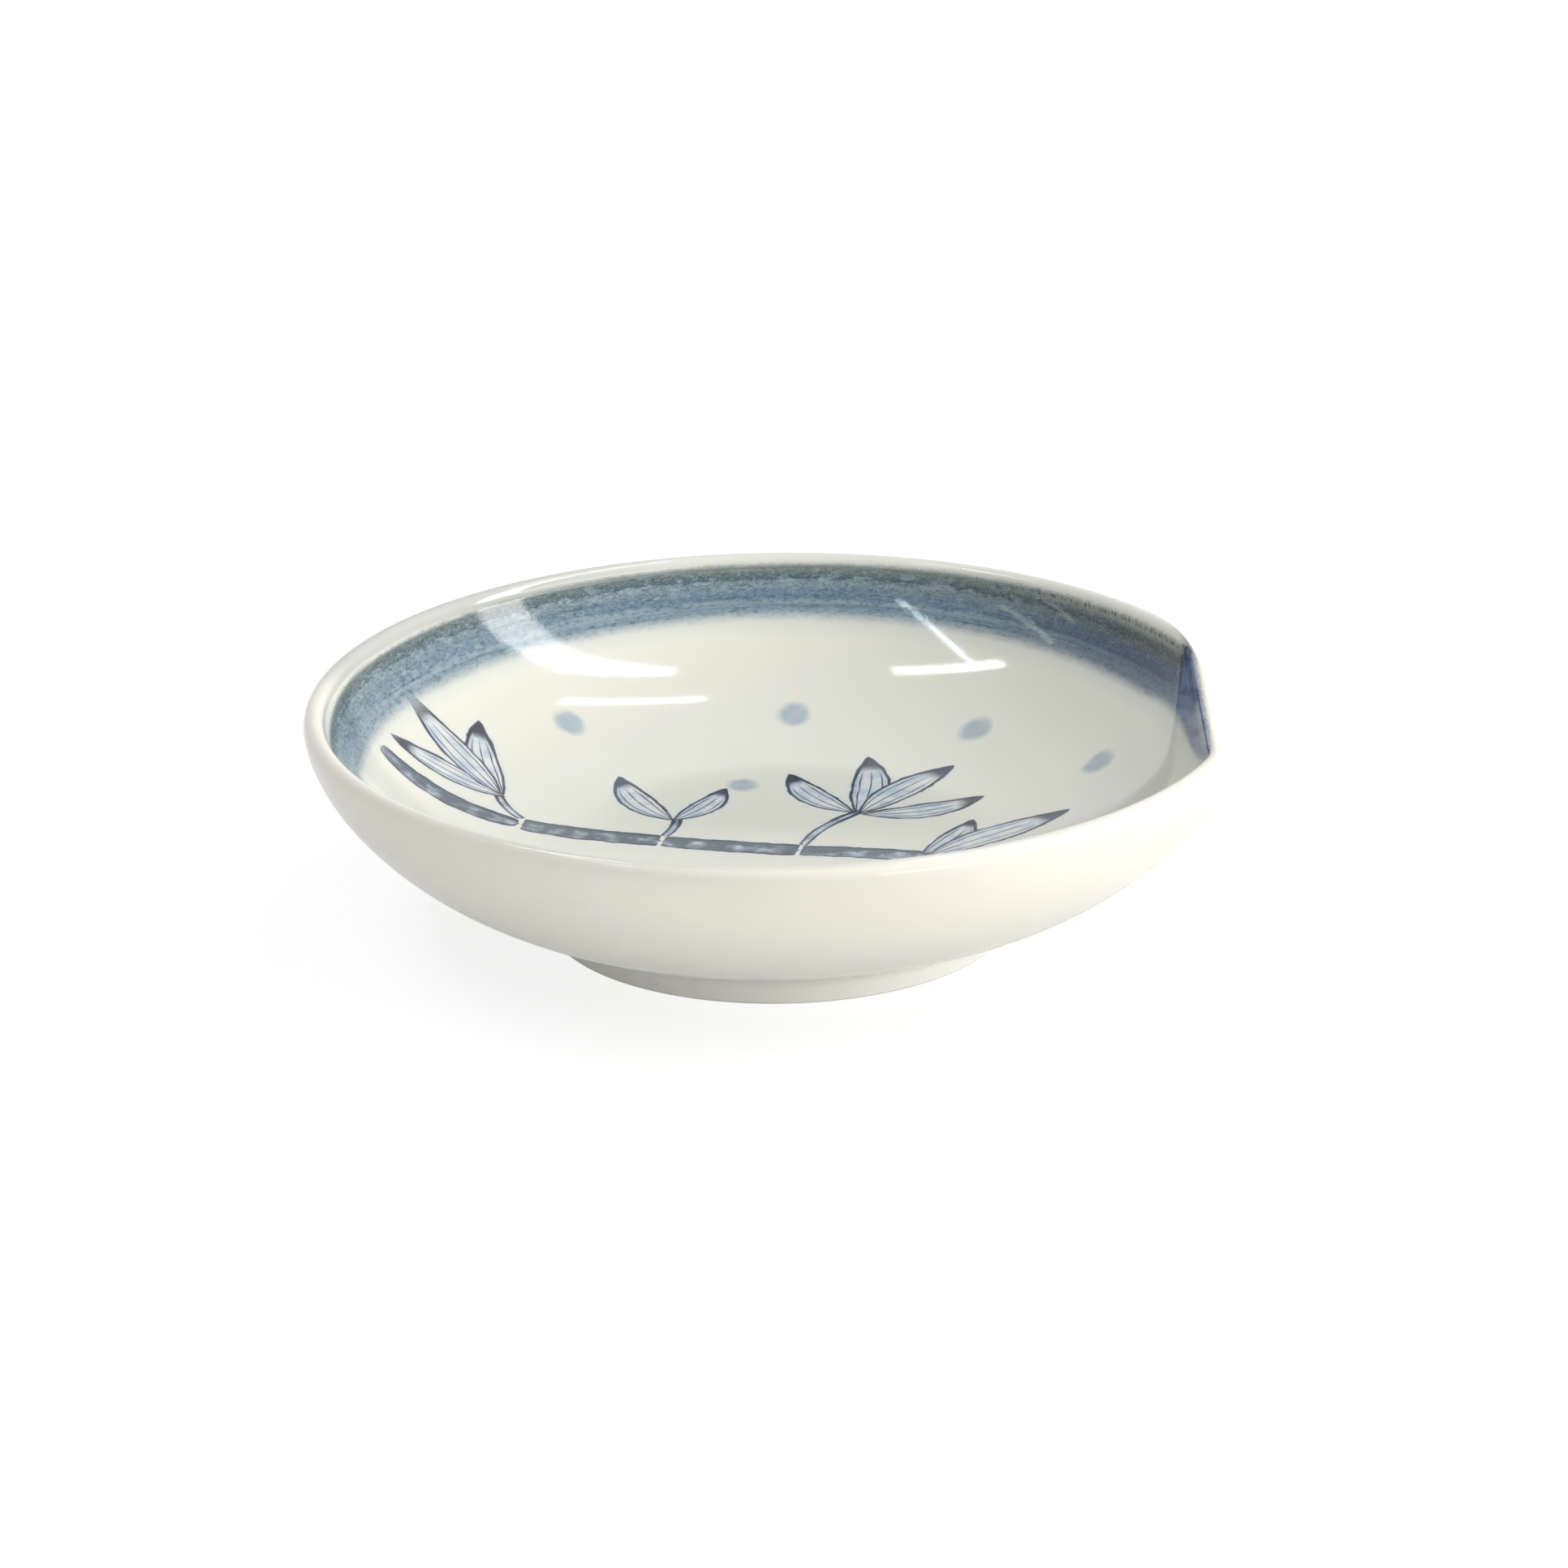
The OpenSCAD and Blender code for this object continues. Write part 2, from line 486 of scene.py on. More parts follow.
PRESS_SIZES = {
    "Press Angle": PRESS_ANGLE,
    "Rim Radius": RIM_R,
    "Dish Height": DISH_H,
    "Foot Height": FOOT_H,
    "Press Depth": PRESS_DEPTH,
    "Wall Thickness": PRESS_WALL_T,
    "Lean": PRESS_LEAN,
    "Soft Corner": SOFT_CORNER,
    "Sharp Corner": SHARP_CORNER,
    "Crease Corner": CREASE_CORNER,
    "Corner Growth": CORNER_GROWTH,
}


def press_tree():
    """Presses one side of a thrown skin in flat, between a sharp corner and a soft one."""
    inputs = [("Geometry", "NodeSocketGeometry")]
    inputs += [(label, FLOAT) for label in PRESS_SIZES]
    inputs.append(("Glaze", "NodeSocketMaterial"))
    tree, given, result = new_group(
        "Press one side", "GeometryNodeTree", inputs, [("Geometry", "NodeSocketGeometry")]
    )

    def stored(name):
        node = node_of(tree, "GeometryNodeInputNamedAttribute", {"data_type": "FLOAT"}, Name=name)
        return Field(tree, next(s for s in node.outputs if s.name == "Attribute" and s.enabled))

    x, y, z = parts(tree, tree.nodes.new("GeometryNodeInputPosition").outputs[0])
    through = stored("through")
    round_r = (x * x + y * y).power(0.5).most(LEAST_RADIUS)
    facing_x = given["Press Angle"].math("COSINE")
    facing_y = given["Press Angle"].math("SINE")
    cosine = (x * facing_x + y * facing_y) / round_r
    sine = (y * facing_x - x * facing_y) / round_r

    # The flat wall, and how round its corners are at this height
    drop = given["Dish Height"] - z
    flat = given["Rim Radius"] - given["Press Depth"] - given["Wall Thickness"] * through
    flat = flat - given["Lean"] * drop - stored("inset")
    share_down = (drop / (given["Dish Height"] - given["Foot Height"])).most(0.0)
    growth = given["Corner Growth"] * share_down * share_down
    soft = given["Soft Corner"] + (given["Crease Corner"] - given["Soft Corner"]) * through + growth
    sharp = given["Sharp Corner"] + (given["Crease Corner"] - given["Sharp Corner"]) * through + growth
    corner_cosine = (given["Rim Radius"] - given["Press Depth"]) / given["Rim Radius"]
    corner_sine = (1.0 - corner_cosine * corner_cosine).power(0.5)
    side = ((sine / corner_sine + 1.0) * 0.5).most(0.0).least(1.0)
    width = sharp + (soft - sharp) * side

    # The smaller of the round wall's radius and the flat wall's, with the corner rounded
    flat_r = flat / cosine.most(LEAST_COSINE)
    near = (width - (round_r - flat_r).size()).most(0.0) / width
    pressed_r = round_r.least(flat_r) - near * near * width * 0.25
    shrink = pressed_r / round_r

    kept = node_of(
        tree, "GeometryNodeStoreNamedAttribute", {"data_type": "FLOAT", "domain": "POINT"},
        Geometry=given["Geometry"], Name="pressed",
    )
    feed(tree, next(s for s in kept.inputs if s.name == "Value" and s.enabled), round_r - pressed_r)
    moved = node_of(tree, "GeometryNodeSetPosition", Geometry=kept.outputs[0])
    feed(tree, moved.inputs["Position"], vector(tree, x * shrink, y * shrink, z))
    real = node_of(tree, "GeometryNodeRealizeInstances", Geometry=moved.outputs[0])
    dressed = node_of(tree, "GeometryNodeSetMaterial", Geometry=real.outputs[0], Material=given["Glaze"])
    tree.links.new(dressed.outputs[0], result.inputs["Geometry"])
    return tree


def shaped(piece, tree, values):
    """Runs a geometry tree on a piece and keeps the result as its plain mesh."""
    modifier = piece.modifiers.new(tree.name, "NODES")
    modifier.node_group = tree
    for item in tree.interface.items_tree:
        if item.in_out == "INPUT" and item.name in values:
            modifier[item.identifier] = values[item.name]
    depsgraph = bpy.context.evaluated_depsgraph_get()
    mesh = bpy.data.meshes.new_from_object(
        piece.evaluated_get(depsgraph), preserve_all_data_layers=True, depsgraph=depsgraph
    )
    piece.modifiers.remove(modifier)
    piece.data = mesh


# Shader groups

SKIN_R = 50.0  # radius in millimetres at which a pattern round the dish keeps its true scale
PLACE_NUMBERS = ["Across", "Away", "Turn", "Side", "Along", "Pressed"]


def place_group():
    """Where a point lies on the dish, in millimetres. Across points to the pressed side."""
    tree, _, result = new_group(
        "Place on the dish", "ShaderNodeTree", [],
        [(label, FLOAT) for label in PLACE_NUMBERS] + [("Skin", VECTOR)],
    )
    turned = node_of(tree, "ShaderNodeMapping", {"vector_type": "POINT"})
    tree.links.new(tree.nodes.new("ShaderNodeTexCoord").outputs["Object"], turned.inputs["Vector"])
    turned.inputs["Rotation"].default_value = (0.0, 0.0, -PRESS_ANGLE)
    turned.inputs["Scale"].default_value = (IN_MM,) * 3
    across, away, _ = parts(tree, turned.outputs[0])
    radius = (across * across + away * away).power(0.5).most(LEAST_RADIUS * IN_MM)
    turn = across / radius
    side = away / radius

    def stored(name):
        node = node_of(tree, "ShaderNodeAttribute", {"attribute_name": name})
        return Field(tree, node.outputs["Fac"]) * IN_MM

    along = stored("along")
    for label, number in zip(PLACE_NUMBERS, (across, away, turn, side, along, stored("pressed"))):
        feed(tree, result.inputs[label], number)
    feed(tree, result.inputs["Skin"], vector(tree, turn * SKIN_R, side * SKIN_R, along))
    return tree


BAND_STOPS = [
    (0.00, srgb(150, 158, 152)),
    (0.06, srgb(132, 143, 138)),
    (0.14, srgb(108, 122, 119)),
    (0.21, srgb(84, 104, 108)),
    (0.265, srgb(68, 92, 106)),
    (0.31, srgb(112, 134, 143)),
    (0.40, srgb(118, 139, 149)),
    (0.50, srgb(102, 128, 146)),
    (0.57, srgb(98, 126, 145)),
    (0.65, srgb(86, 116, 142)),
    (0.70, srgb(103, 129, 147)),
    (0.76, srgb(128, 151, 164)),
    (0.81, srgb(134, 157, 170)),
    (0.85, srgb(104, 132, 154)),
    (0.91, srgb(124, 148, 162)),
    (1.00, srgb(136, 157, 168)),
]
THIN_WASH = srgb(154, 170, 180)
THICK_WASH = srgb(40, 62, 78)
GREEN_INK = srgb(20, 32, 34)
NAVY_INK = srgb(14, 44, 84)
DARK_GRAIN = srgb(42, 62, 76)
PALE_GRAIN = srgb(180, 196, 203)
PALE_FILM = srgb(168, 173, 160)
POOLED_INK = srgb(30, 38, 40)

# Waves to the millimetre of the patterns in the band, twice for round the dish and once for down its wall
STREAK_WAVES = (0.03, 0.03, 2.6)
CLOUD_WAVES = (0.45, 0.45, 1.2)
MOTTLE_WAVES = (1.1, 1.1, 2.4)
GRAIN_WAVES = (3.0, 3.0, 5.5)
DRIFT_WAVES = (0.06, 0.06, 0.2)
CELL_WAVES = (0.75, 0.75, 1.5)
TICK_WAVES = (3.0, 3.0, 1.0)
FLECK_WAVES = (2.0, 2.0, 3.0)


def band_group():
    """A broad brushed band: cloudy and dark along its top, streaky below, soft at its lower edge."""
    tree, given, result = new_group(
        "Brushed band", "ShaderNodeTree",
        [(label, FLOAT) for label in ("Along", "Turn", "Upper Edge", "Lower Edge")] + [("Skin", VECTOR)],
        [("Cover", FLOAT), ("Halo", FLOAT), ("Colour", COLOUR)],
    )
    skin = given["Skin"]
    along = given["Along"]
    upper = given["Upper Edge"]
    lower = given["Lower Edge"]
    streaks = noise(tree, skin, STREAK_WAVES, 3.0, 0.6)
    clouds = noise(tree, skin, CLOUD_WAVES, 3.0, 0.5)
    mottle = noise(tree, skin, MOTTLE_WAVES, 3.0, 0.65)
    grain = noise(tree, skin, GRAIN_WAVES, 2.0, 0.6)
    drift = noise(tree, skin, DRIFT_WAVES, 2.0)
    thin = given["Turn"].rise(0.1, -0.9)
    wet = given["Turn"].rise(0.35, 0.90)
    share = (along - upper) / (lower - upper)
    warped = share + (streaks - 0.5) * 0.10 + (clouds - 0.5) * 0.12 + (mottle - 0.5) * 0.10
    warped = warped + (drift - 0.5) * 0.10 + wet * (share - 0.45) * 0.25
    colour = ramp(tree, warped, BAND_STOPS)

    # Pale clouds with thin dark outlines, all over where the wash is thin, else in the upper half
    room = share.rise(0.75, 0.35).most(thin * share.rise(1.0, 0.8))
    cloud = (clouds + (mottle - 0.5) * 0.25).rise(0.53, 0.60) * room
    dry = streaks.rise(0.52, 0.70) * share.rise(0.2, 0.5)
    washed = thin * share.rise(0.16, 0.24) * (0.14 + share.rise(0.45, 0.7) * 0.22)
    pale = cloud * 0.40 + dry * 0.22 + washed + mottle.rise(0.50, 0.66) * 0.28
    colour = blend_colour(tree, pale.least(0.75), colour, THIN_WASH)
    cells = scaled(tree, skin, CELL_WAVES)
    edges = node_of(
        tree, "ShaderNodeTexVoronoi", {"feature": "DISTANCE_TO_EDGE"}, Vector=cells, Scale=1.0
    )
    outline = (Field(tree, edges.outputs["Distance"]) + (grain - 0.5) * 0.1).rise(0.07, 0.0)
    outline = outline * clouds.rise(0.46, 0.54) * share.rise(0.36, 0.24) * (0.15 + wet * 0.6)
    dark = outline + streaks.rise(0.46, 0.28) * share.rise(0.3, 0.6) * 0.40
    dark = dark + mottle.rise(0.49, 0.34) * 0.42 + thin * share.rise(0.22, 0.12) * 0.34
    colour = blend_colour(tree, dark.least(0.9), colour, THICK_WASH)

    # Thick, nearly black ink where the brush was wet, green-black above and navy below
    ink = blend_colour(tree, share.rise(0.36, 0.50), GREEN_INK, NAVY_INK)
    loaded = wet * (0.22 + share.rise(0.10, 0.28) * 0.52) * (1.0 - share.rise(0.66, 0.80) * 0.35)
    colour = blend_colour(tree, loaded, colour, ink)
    fine = 1.0 - share.rise(0.45, 0.75) * 0.6
    colour = blend_colour(tree, (0.5 - grain).rise(0.0, 0.30) * fine * 0.62, colour, DARK_GRAIN)
    colour = blend_colour(tree, (grain - 0.5).rise(0.0, 0.30) * fine * 0.46, colour, PALE_GRAIN)

    # There its top is a pale film with short ticks of pooled ink
    film = given["Turn"].rise(0.55, 0.86) * share.rise(0.22, 0.06)
    colour = blend_colour(tree, film * 0.6, colour, PALE_FILM)
    ticks = noise(tree, skin, TICK_WAVES, 1.0).rise(0.54, 0.60)
    pooled = ticks * given["Turn"].rise(0.45, 0.70) * share.rise(-0.04, 0.0) * share.rise(0.13, 0.07)
    colour = blend_colour(tree, pooled * 0.85, colour, POOLED_INK)

    ragged = along - upper + (grain - 0.5) * 0.5 + (mottle - 0.5) * 0.7
    soft = along - lower + (clouds - 0.5) * 0.35 + (drift - 0.5) * 0.5 + (mottle - 0.5) * 0.3
    cover = ragged.rise(-0.32, 0.44) * soft.rise(1.25, -0.55)
    feed(tree, result.inputs["Cover"], cover)
    feed(tree, result.inputs["Halo"], soft.rise(3.4, 0.2) * ragged.rise(-0.6, 0.2))
    feed(tree, result.inputs["Colour"], colour)
    return tree


DAB_INPUTS = ["Across", "Away", "Centre Across", "Centre Away", "Radius"]


def dab_group():
    """A round dab of thin wash, soft at its edge and a little mottled."""
    tree, given, result = new_group(
        "Soft dab", "ShaderNodeTree", [(label, FLOAT) for label in DAB_INPUTS], [("Cover", FLOAT)]
    )
    x = given["Across"] - given["Centre Across"]
    y = given["Away"] - given["Centre Away"]
    spot = vector(tree, given["Across"], given["Away"], 0.0)
    distance = (x * x + y * y).power(0.5) + (noise(tree, spot, 0.5, 2.0) - 0.5) * 0.9
    soft = distance.rise(given["Radius"] + 0.6, given["Radius"] - 0.7)
    mottle = 0.62 + noise(tree, spot, 0.9, 3.0) * 0.7
    feed(tree, result.inputs["Cover"], (soft * mottle).least(1.0))
    return tree


BRUSH_INPUTS = [
    "Across", "Away", "Root Across", "Root Away", "Direction", "Length", "Width", "Bow", "Taper", "Pen",
    "Load", "Veins",
]
LEAST_HALF = 0.05  # millimetres of half width that a mark keeps at its points
VEIN_SPACING = 0.62  # as a share of the mark's half width


def brush_group():
    """One outlined brush mark, such as a leaf or a stem: pointed, bowed, veined, filled with wash."""
    tree, given, result = new_group(
        "Brush mark", "ShaderNodeTree",
        [(label, FLOAT) for label in BRUSH_INPUTS],
        [(label, FLOAT) for label in ("Wash", "Line", "Inside", "Halo")],
    )
    x = given["Across"] - given["Root Across"]
    y = given["Away"] - given["Root Away"]
    cosine = given["Direction"].math("COSINE")
    sine = given["Direction"].math("SINE")
    share = (x * cosine + y * sine) / given["Length"]
    held = share.most(0.0).least(1.0)
    arch = held * (1.0 - held) * 4.0
    aside = y * cosine - x * sine - given["Bow"] * arch
    wobble = noise(tree, vector(tree, given["Across"], given["Away"], 0.0), 0.45, 2.0) - 0.5
    half = given["Width"] * 0.5 * arch.power(given["Taper"]) * (1.0 + wobble * 0.3)
    past = ((share - held) * given["Length"]).size()
    side = aside.size() - half + past
    pen = given["Pen"] * (0.8 + wobble * 1.2 + share.rise(0.5, 1.0) * 0.6)
    inside = side.rise(0.08, -0.08)
    outline = (side.size() - pen * 0.5).rise(0.10, -0.10)

    # Fine lines spread across the mark, and ink that fills its tip
    across_share = aside / half.most(LEAST_HALF)
    vein = across_share.nearest(VEIN_SPACING) * half - pen * 0.20
    veins = vein.rise(0.07, -0.05) * inside * share.rise(0.86, 0.60)
    tip = inside * (share + wobble * 0.12).rise(0.76, 0.88)
    feed(tree, result.inputs["Line"], outline.most(veins.most(tip) * given["Veins"]))
    blotch = noise(tree, vector(tree, given["Across"], given["Away"], 5.0), 0.55, 2.0) - 0.5
    shade = across_share.rise(0.2, 1.0) * 0.25 + blotch * 1.3
    wash = inside * (given["Load"] + shade)
    feed(tree, result.inputs["Wash"], wash.most(0.0).least(1.0))
    feed(tree, result.inputs["Inside"], inside)
    feed(tree, result.inputs["Halo"], side.rise(1.1, 0.0))
    return tree


# Painted light and shade by height: the foot is painted light, the low belly painted darker, the glaze
# lighter again under the lip.
FOOT_PAINTED_LIGHT = srgb(252, 251, 245)
BELLY_PAINTED_SHADE = srgb(214, 214, 206)
LIP_TONE = srgb(244, 240, 229)
CLOUD_TONE = srgb(237, 235, 224)
SPECK_TONE = srgb(196, 186, 164)


def tone_group():
    """Colour of the bare glaze, slightly clouded, with painted light and shade by height: painted light on
    the foot, painted shade on the low belly, lighter again up to the lip.
    """
    tree, _, result = new_group("Porcelain tone and painted shade", "ShaderNodeTree", [], [("Colour", COLOUR)])
    spot = place_in_mm(tree)
    height = parts(tree, spot)[2]
    # Painted light on the foot, painted shade on the belly above it, lighter again towards the lip.
    colour = blend_colour(tree, height.rise(3.0, 5.5), FOOT_PAINTED_LIGHT, BELLY_PAINTED_SHADE)
    colour = blend_colour(tree, height.rise(4.0, 23.0), colour, LIP_TONE)
    cloud = noise(tree, spot, 0.06, 2.0).rise(0.3, 0.7) * 0.5
    colour = blend_colour(tree, cloud * height.rise(3.0, 12.0), colour, CLOUD_TONE)
    speck = noise(tree, spot, 1.1, 1.0).rise(0.79, 0.84) * 0.45
    colour = blend_colour(tree, speck, colour, SPECK_TONE)
    feed(tree, result.inputs["Colour"], colour)
    return tree


def ripple_group():
    """Height of the slow ripple and fine pitting in a fired glaze, as a share of its relief."""
    tree, given, result = new_group(
        "Glaze ripple", "ShaderNodeTree", [("Skin", VECTOR)], [("Height", FLOAT)]
    )
    slow = noise(tree, given["Skin"], 0.35, 1.0)
    fine = noise(tree, given["Skin"], 2.6, 2.0)
    feed(tree, result.inputs["Height"], slow * 0.3 + fine * 0.7)
    return tree


# Materials

RELIEF = 0.05 * MM  # height of every bump from its lowest to its highest


def new_material(name):
    """A material with one shader. Returns it, its tree and the shader."""
    material = bpy.data.materials.new(name)
    material.use_nodes = True
    tree = material.node_tree
    tree.nodes.clear()
    shader = tree.nodes.new("ShaderNodeBsdfPrincipled")
    output = tree.nodes.new("ShaderNodeOutputMaterial")
    tree.links.new(shader.outputs[0], output.inputs["Surface"])
    return material, tree, shader


def bump(tree, height, strength):
    """A normal from a height that varies from 0 to 1."""
    node = node_of(tree, "ShaderNodeBump", Height=height)
    node.inputs["Strength"].default_value = strength
    node.inputs["Distance"].default_value = RELIEF
    return node.outputs["Normal"]


GLAZE_IOR = 1.5
GLAZE_ROUGHNESS = 0.07
SATIN = 0.25  # roughness added on the pressed wall's inside, and low on the outside
FOOT_ROUGHNESS = 0.32
CLAY_ROUGHNESS = 0.6
# Painted shade of the inside, greener with light thrown back from its painted wall
INSIDE_PAINTED_SHADE = srgb(231, 232, 219)
# Painted shade on the lip, and at its far left a painted dark reflection
LIP_SOFT_SHADE = srgb(225, 225, 218)
LIP_SHADE = srgb(200, 202, 197)
WASH_PALE = srgb(186, 200, 216)
WASH_DEEP = srgb(74, 88, 102)
PALE_DAB = srgb(160, 176, 192)
NAVY = srgb(42, 54, 80)
PEN_BLACK = srgb(22, 28, 38)
BLEED_BLUE = srgb(214, 221, 229)
BAND_HALO_GREY = srgb(204, 210, 210)
EDGE_BROWN = srgb(104, 82, 66)
PRESS_VIOLET = srgb(42, 58, 116)
PRESS_PALE = srgb(118, 137, 176)
BARE_RING_LIGHT = srgb(238, 233, 221)
BARE_RING_DARK = srgb(226, 220, 206)
CLAY_LIGHT = srgb(232, 228, 216)
CLAY_DARK = srgb(222, 217, 203)

# Dabs of wash on the floor and wall: across, away, radius in millimetres
DABS = [
    (-24.0, 30.5, 1.7),
    (-4.0, 20.5, 1.7),
    (2.0, 36.0, 1.8),
    (23.0, 29.0, 1.8),
    (36.5, 14.5, 1.7),
]

# Brush marks of a bamboo spray: root across, root away, direction in degrees, length, width, bow,
# taper, pen. Lengths are in millimetres.
CULM = [
    (-44.6, 9.3, -12.0, 15.6, 3.0, -0.3, 0.24, 0.38),
    (-28.8, 6.0, -9.0, 15.6, 3.2, 0.2, 0.05, 0.38),
    (-12.9, 3.4, -12.0, 15.4, 3.2, -0.2, 0.05, 0.38),
    (2.6, 0.1, -11.0, 14.4, 3.0, 0.3, 0.05, 0.38),
]
TWIGS = [
    (-29.0, 7.6, 118.0, 6.0, 0.9, 0.4, 0.1, 0.38),
    (-12.8, 5.0, 75.0, 5.5, 0.9, -0.3, 0.1, 0.38),
    (2.8, 1.7, 58.0, 12.0, 1.0, 0.9, 0.1, 0.38),
]
LEAVES = [
    (-31.0, 12.4, 176.0, 12.5, 3.4, -0.8, 0.9, 0.41),
    (-31.2, 12.8, 104.0, 12.5, 3.6, 0.9, 0.9, 0.41),
    (-31.5, 12.8, 140.0, 14.0, 4.0, -1.0, 0.9, 0.41),
    (-11.8, 10.0, 58.0, 11.0, 3.2, -0.8, 0.9, 0.41),
    (-12.0, 10.0, 118.0, 13.0, 3.8, 1.0, 0.9, 0.41),
    (8.6, 11.8, 122.0, 13.5, 3.8, 1.1, 0.9, 0.41),
    (9.6, 11.2, 12.0, 14.0, 3.8, -1.1, 0.9, 0.41),
    (9.0, 11.8, 84.0, 15.0, 4.2, -0.9, 0.9, 0.41),
    (9.4, 11.6, 46.0, 15.5, 4.2, 1.0, 0.9, 0.41),
    (16.2, -1.6, 58.0, 11.0, 3.4, -0.8, 0.9, 0.41),
    (16.8, -2.4, 28.0, 18.0, 4.4, 1.3, 0.9, 0.41),
]
MARK_SETS = [(TWIGS, 0.55, 0.0), (CULM, 0.84, 0.0), (LEAVES, 0.16, 1.0)]  # marks, load of wash, veins

# Where the band lies, in millimetres along the inside from the lip's crown
BAND_TOP = 1.65
BAND_FOOT = 7.6
PRESSED_FOOT = 8.0


def spray(tree, brush, across, away):
    """The bamboo spray. Each later mark hides what lies under it. Returns its line, wash and halo."""
    line = wash = halo = None
    for marks, load, veins in MARK_SETS:
        for root_x, root_y, direction, length, width, bow, taper, pen in marks:
            mark = use_group(
                tree, brush, Across=across, Away=away, Root_Across=root_x, Root_Away=root_y,
                Direction=math.radians(direction), Length=length, Width=width, Bow=bow, Taper=taper, Pen=pen,
                Load=load, Veins=veins,
            )
            if line is None:
                line, wash, halo = mark["Line"], mark["Wash"], mark["Halo"]
            else:
                clear = 1.0 - mark["Inside"]
                line = (line * clear).most(mark["Line"])
                wash = (wash * clear).most(mark["Wash"])
                halo = halo.most(mark["Halo"])
    return line, wash, halo


def painted_glaze(place, tone, brush, dab, band, ripple):
    """Glossy warm-white glaze over the blue painting, with painted shade inside the bowl and on the lip."""
    material, tree, shader = new_material("painted_glaze")
    at = use_group(tree, place)
    across, away, along, turn, side, skin = (
        at[key] for key in ("Across", "Away", "Along", "Turn", "Side", "Skin")
    )
    inside = along.rise(1.0, 4.0)
    colour = use_group(tree, tone)["Colour"]
    # Painted shade inside the bowl: a little darker and greener, with light thrown back from its painted
    # wall.
    colour = blend_colour(tree, inside * 0.6, colour, INSIDE_PAINTED_SHADE)
    # Painted shade on the lip at the back and front, darker at the far left, where it also stands in for a
    # dark reflection.
    far_left = turn.rise(-0.1, -0.6) * side.rise(-0.05, 0.3)
    shaded = side.rise(0.1, 0.8).most(side.rise(-0.5, -1.0)).most(far_left)
    lip = along.rise(-1.0, -0.3) * along.rise(2.4, 1.8) * shaded
    colour = blend_colour(tree, lip, colour, blend_colour(tree, far_left, LIP_SOFT_SHADE, LIP_SHADE))

    # Painting on the floor, with a soft blue bleed round it
    line, wash, halo = spray(tree, brush, across, away)
    colour = blend_colour(tree, halo * inside * 0.6, colour, BLEED_BLUE)
    colour = blend_colour(tree, wash.rise(0.0, 0.4) * inside * 0.9, colour, WASH_PALE)
    colour = blend_colour(tree, wash.rise(0.40, 0.95) * inside * 0.95, colour, WASH_DEEP)
    load = noise(tree, skin, 0.25, 2.0).rise(0.40, 0.62)
    colour = blend_colour(tree, line * inside * 0.94, colour, blend_colour(tree, load, NAVY, PEN_BLACK))

    dabs = None
    for centre_x, centre_y, radius in DABS:
        found = use_group(
            tree, dab, Across=across, Away=away, Centre_Across=centre_x, Centre_Away=centre_y, Radius=radius
        )["Cover"]
        dabs = found if dabs is None else dabs.most(found)
    colour = blend_colour(tree, dabs * inside * 0.85, colour, PALE_DAB)

    # The band. On the pressed side it climbs over the crown, and its lower edge runs up to the corner
    flat_wall = at["Pressed"].rise(0.02, 0.25)
    pressed = side.size().rise(0.43, 0.36) * turn.rise(0.0, 0.5)
    left = turn.rise(-0.80, -0.98) * side.rise(0.35, -0.15)
    upper = BAND_TOP + turn * (turn - 1.0) * 0.5 + left * 1.1 - turn.rise(0.0, -0.8) * 0.1
    lower = BAND_FOOT + turn * (turn * 0.8 - 0.35) + left * 0.4 + turn.rise(0.3, 0.9) * 0.4
    pressed_upper = BAND_TOP - side.rise(0.43, 0.28) * 1.2 + side.rise(-0.29, -0.37) * 0.3
    forward = ((0.15 - side) / 0.525).most(0.0).power(1.6)
    pressed_lower = PRESSED_FOOT - forward * 6.6
    upper = upper + pressed * (pressed_upper - upper)
    lower = lower + pressed * (pressed_lower - lower)
    painted = use_group(tree, band, Skin=skin, Along=along, Turn=turn, Upper_Edge=upper, Lower_Edge=lower)

    # Violet strokes that run slantwise down the pressed wall
    slanted = vector(tree, along - away * 0.46, (away + along * 0.46) * 0.12, 0.0)
    stroke = noise(tree, slanted, 0.42, 4.0, 0.62).rise(0.38, 0.56)
    strokes = blend_colour(tree, stroke, PRESS_VIOLET, PRESS_PALE)
    flecks = noise(tree, skin, FLECK_WAVES, 3.0, 0.6).rise(0.50, 0.36)
    strokes = blend_colour(tree, flecks * 0.45, strokes, PRESS_VIOLET)
    band_colour = blend_colour(tree, flat_wall * 0.9, painted["Colour"], strokes)
    # A soft greyer zone just below the band.
    colour = blend_colour(tree, painted["Halo"] * 0.5, colour, BAND_HALO_GREY)
    colour = blend_colour(tree, painted["Cover"], colour, band_colour)

    # The crease at the upper end of the pressed wall is worn to a brown edge
    crease = (at["Pressed"] - 0.12).size().rise(0.10, 0.04) * side.rise(0.15, 0.25) * turn.rise(0.0, 0.5)
    crease = crease * along.rise(1.3, 2.0) * along.rise(5.0, 3.0)
    colour = blend_colour(tree, crease * 0.75, colour, EDGE_BROWN)

    feed(tree, shader.inputs["Base Color"], colour)
    shader.inputs["IOR"].default_value = GLAZE_IOR
    satin = flat_wall * inside + along.rise(-21.0, -30.0)
    feed(tree, shader.inputs["Roughness"], satin * SATIN + GLAZE_ROUGHNESS)
    height = use_group(tree, ripple, Skin=skin)["Height"]
    height = (height - 0.5) * (0.12 + inside * 0.5 + painted["Cover"] * 0.38)
    feed(tree, shader.inputs["Normal"], bump(tree, height, 0.16))
    return material


